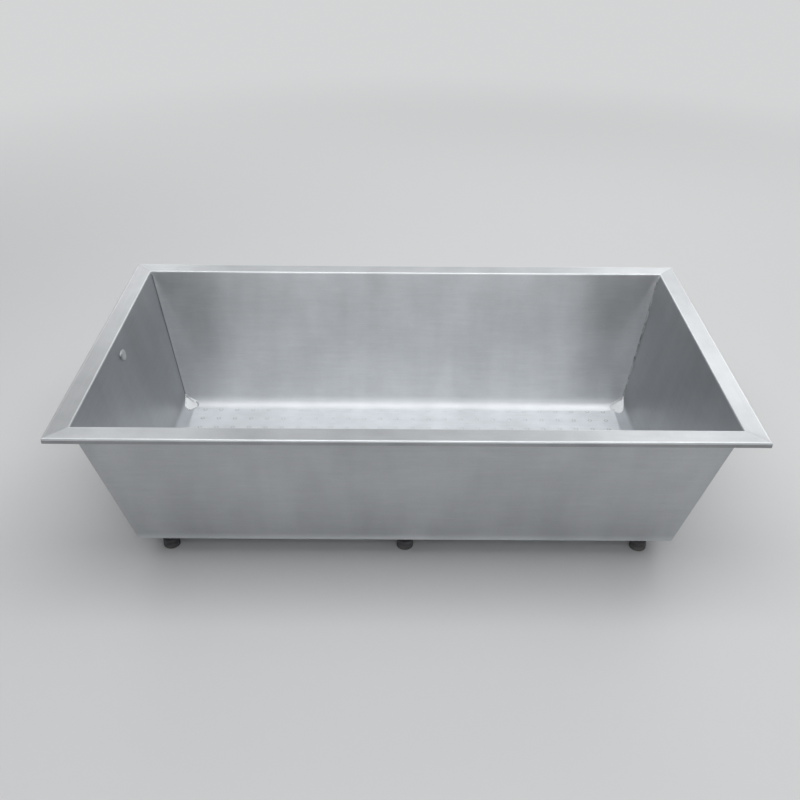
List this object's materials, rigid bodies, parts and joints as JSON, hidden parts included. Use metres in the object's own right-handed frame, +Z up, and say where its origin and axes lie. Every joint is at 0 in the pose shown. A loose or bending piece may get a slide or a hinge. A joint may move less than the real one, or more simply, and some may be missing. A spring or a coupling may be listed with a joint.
{
  "type": "bathtub",
  "caption": "Rectangular stainless steel bathtub with a flat folded rim, sloping walls, coved embossed floor, levelling feet, press-open waste and piped overflow.",
  "frame": {"origin": "on the ground, under the middle of the tub", "axes": "+X along the tub towards the end without the waste, +Y to the back, +Z up"},
  "size_m": [1.5, 0.85, 0.4345],
  "materials": {
    "sheet_steel": "satin brushed",
    "weld_steel": "ground",
    "rail_steel": "mill",
    "fastener_steel": "turned",
    "sole_rubber": "matte",
    "cup_plastic": "satin",
    "polished_steel": "polished",
    "seal_rubber": "matte",
    "cartridge_brass": "turned",
    "fitting_plastic": "moulded",
    "pipe_plastic": "extruded"
  },
  "bodies": {
    "tub": {"front_wall": "sheet_steel", "back_wall": "sheet_steel", "left_end_wall": "sheet_steel", "right_end_wall": "sheet_steel", "floor_plate": "sheet_steel", "front_left_corner_weld": "weld_steel", "front_right_corner_weld": "weld_steel", "back_left_corner_weld": "weld_steel", "back_right_corner_weld": "weld_steel", "floor_seam_weld": "weld_steel", "left_front_rail": "rail_steel", "left_back_rail": "rail_steel", "middle_rail": "rail_steel", "right_rail": "rail_steel", "foot_weld_nuts": "fastener_steel", "foot_lock_nuts": "fastener_steel", "waste_flange": "polished_steel", "overflow_sleeve": "polished_steel", "overflow_cover": "polished_steel", "overflow_screw": "polished_steel", "waste_gasket": "seal_rubber", "overflow_gasket": "seal_rubber", "plug_cartridge": "cartridge_brass", "waste_body": "fitting_plastic", "overflow_elbow": "fitting_plastic", "overflow_lower_elbow": "fitting_plastic", "overflow_pipe_nuts": "fitting_plastic", "overflow_down_pipe": "pipe_plastic", "overflow_floor_pipe": "pipe_plastic"},
    "front_left_foot": {"front_left_foot_sole": "sole_rubber", "front_left_foot_cup": "cup_plastic"},
    "front_left_stud": {"front_left_foot_stud": "fastener_steel"},
    "front_middle_foot": {"front_middle_foot_sole": "sole_rubber", "front_middle_foot_cup": "cup_plastic"},
    "front_middle_stud": {"front_middle_foot_stud": "fastener_steel"},
    "front_right_foot": {"front_right_foot_sole": "sole_rubber", "front_right_foot_cup": "cup_plastic"},
    "front_right_stud": {"front_right_foot_stud": "fastener_steel"},
    "back_left_foot": {"back_left_foot_sole": "sole_rubber", "back_left_foot_cup": "cup_plastic"},
    "back_left_stud": {"back_left_foot_stud": "fastener_steel"},
    "back_middle_foot": {"back_middle_foot_sole": "sole_rubber", "back_middle_foot_cup": "cup_plastic"},
    "back_middle_stud": {"back_middle_foot_stud": "fastener_steel"},
    "back_right_foot": {"back_right_foot_sole": "sole_rubber", "back_right_foot_cup": "cup_plastic"},
    "back_right_stud": {"back_right_foot_stud": "fastener_steel"},
    "plug": {"plug": "polished_steel", "plug_seal": "seal_rubber"}
  },
  "joints": [
    {"name": "front_left_foot_travel", "type": "slide", "parent": "tub", "child": "front_left_foot", "axis": [0, 0, -1], "range_m": [0, 0.008]},
    {"name": "front_left_stud_turn", "type": "hinge", "parent": "front_left_foot", "child": "front_left_stud", "pos_m": [-0.57002, -0.25203, 0.0275], "axis": [0, 0, -1], "range_deg": [0, 1646]},
    {"name": "front_middle_foot_travel", "type": "slide", "parent": "tub", "child": "front_middle_foot", "axis": [0, 0, -1], "range_m": [0, 0.008]},
    {"name": "front_middle_stud_turn", "type": "hinge", "parent": "front_middle_foot", "child": "front_middle_stud", "pos_m": [0, -0.25203, 0.0275], "axis": [0, 0, -1], "range_deg": [0, 1646]},
    {"name": "front_right_foot_travel", "type": "slide", "parent": "tub", "child": "front_right_foot", "axis": [0, 0, -1], "range_m": [0, 0.008]},
    {"name": "front_right_stud_turn", "type": "hinge", "parent": "front_right_foot", "child": "front_right_stud", "pos_m": [0.57002, -0.25203, 0.0275], "axis": [0, 0, -1], "range_deg": [0, 1646]},
    {"name": "back_left_foot_travel", "type": "slide", "parent": "tub", "child": "back_left_foot", "axis": [0, 0, -1], "range_m": [0, 0.008]},
    {"name": "back_left_stud_turn", "type": "hinge", "parent": "back_left_foot", "child": "back_left_stud", "pos_m": [-0.57002, 0.25203, 0.0275], "axis": [0, 0, -1], "range_deg": [0, 1646]},
    {"name": "back_middle_foot_travel", "type": "slide", "parent": "tub", "child": "back_middle_foot", "axis": [0, 0, -1], "range_m": [0, 0.008]},
    {"name": "back_middle_stud_turn", "type": "hinge", "parent": "back_middle_foot", "child": "back_middle_stud", "pos_m": [0, 0.25203, 0.0275], "axis": [0, 0, -1], "range_deg": [0, 1646]},
    {"name": "back_right_foot_travel", "type": "slide", "parent": "tub", "child": "back_right_foot", "axis": [0, 0, -1], "range_m": [0, 0.008]},
    {"name": "back_right_stud_turn", "type": "hinge", "parent": "back_right_foot", "child": "back_right_stud", "pos_m": [0.57002, 0.25203, 0.0275], "axis": [0, 0, -1], "range_deg": [0, 1646]},
    {"name": "plug_lift", "type": "slide", "parent": "tub", "child": "plug", "axis": [0, 0, 1], "range_m": [0, 0.008]}
  ],
  "couplings": [
    {"joint": "front_left_stud_turn", "follows": "front_left_foot_travel", "rad_per_m": 3590.4},
    {"joint": "front_middle_stud_turn", "follows": "front_middle_foot_travel", "rad_per_m": 3590.4},
    {"joint": "front_right_stud_turn", "follows": "front_right_foot_travel", "rad_per_m": 3590.4},
    {"joint": "back_left_stud_turn", "follows": "back_left_foot_travel", "rad_per_m": 3590.4},
    {"joint": "back_middle_stud_turn", "follows": "back_middle_foot_travel", "rad_per_m": 3590.4},
    {"joint": "back_right_stud_turn", "follows": "back_right_foot_travel", "rad_per_m": 3590.4}
  ]
}
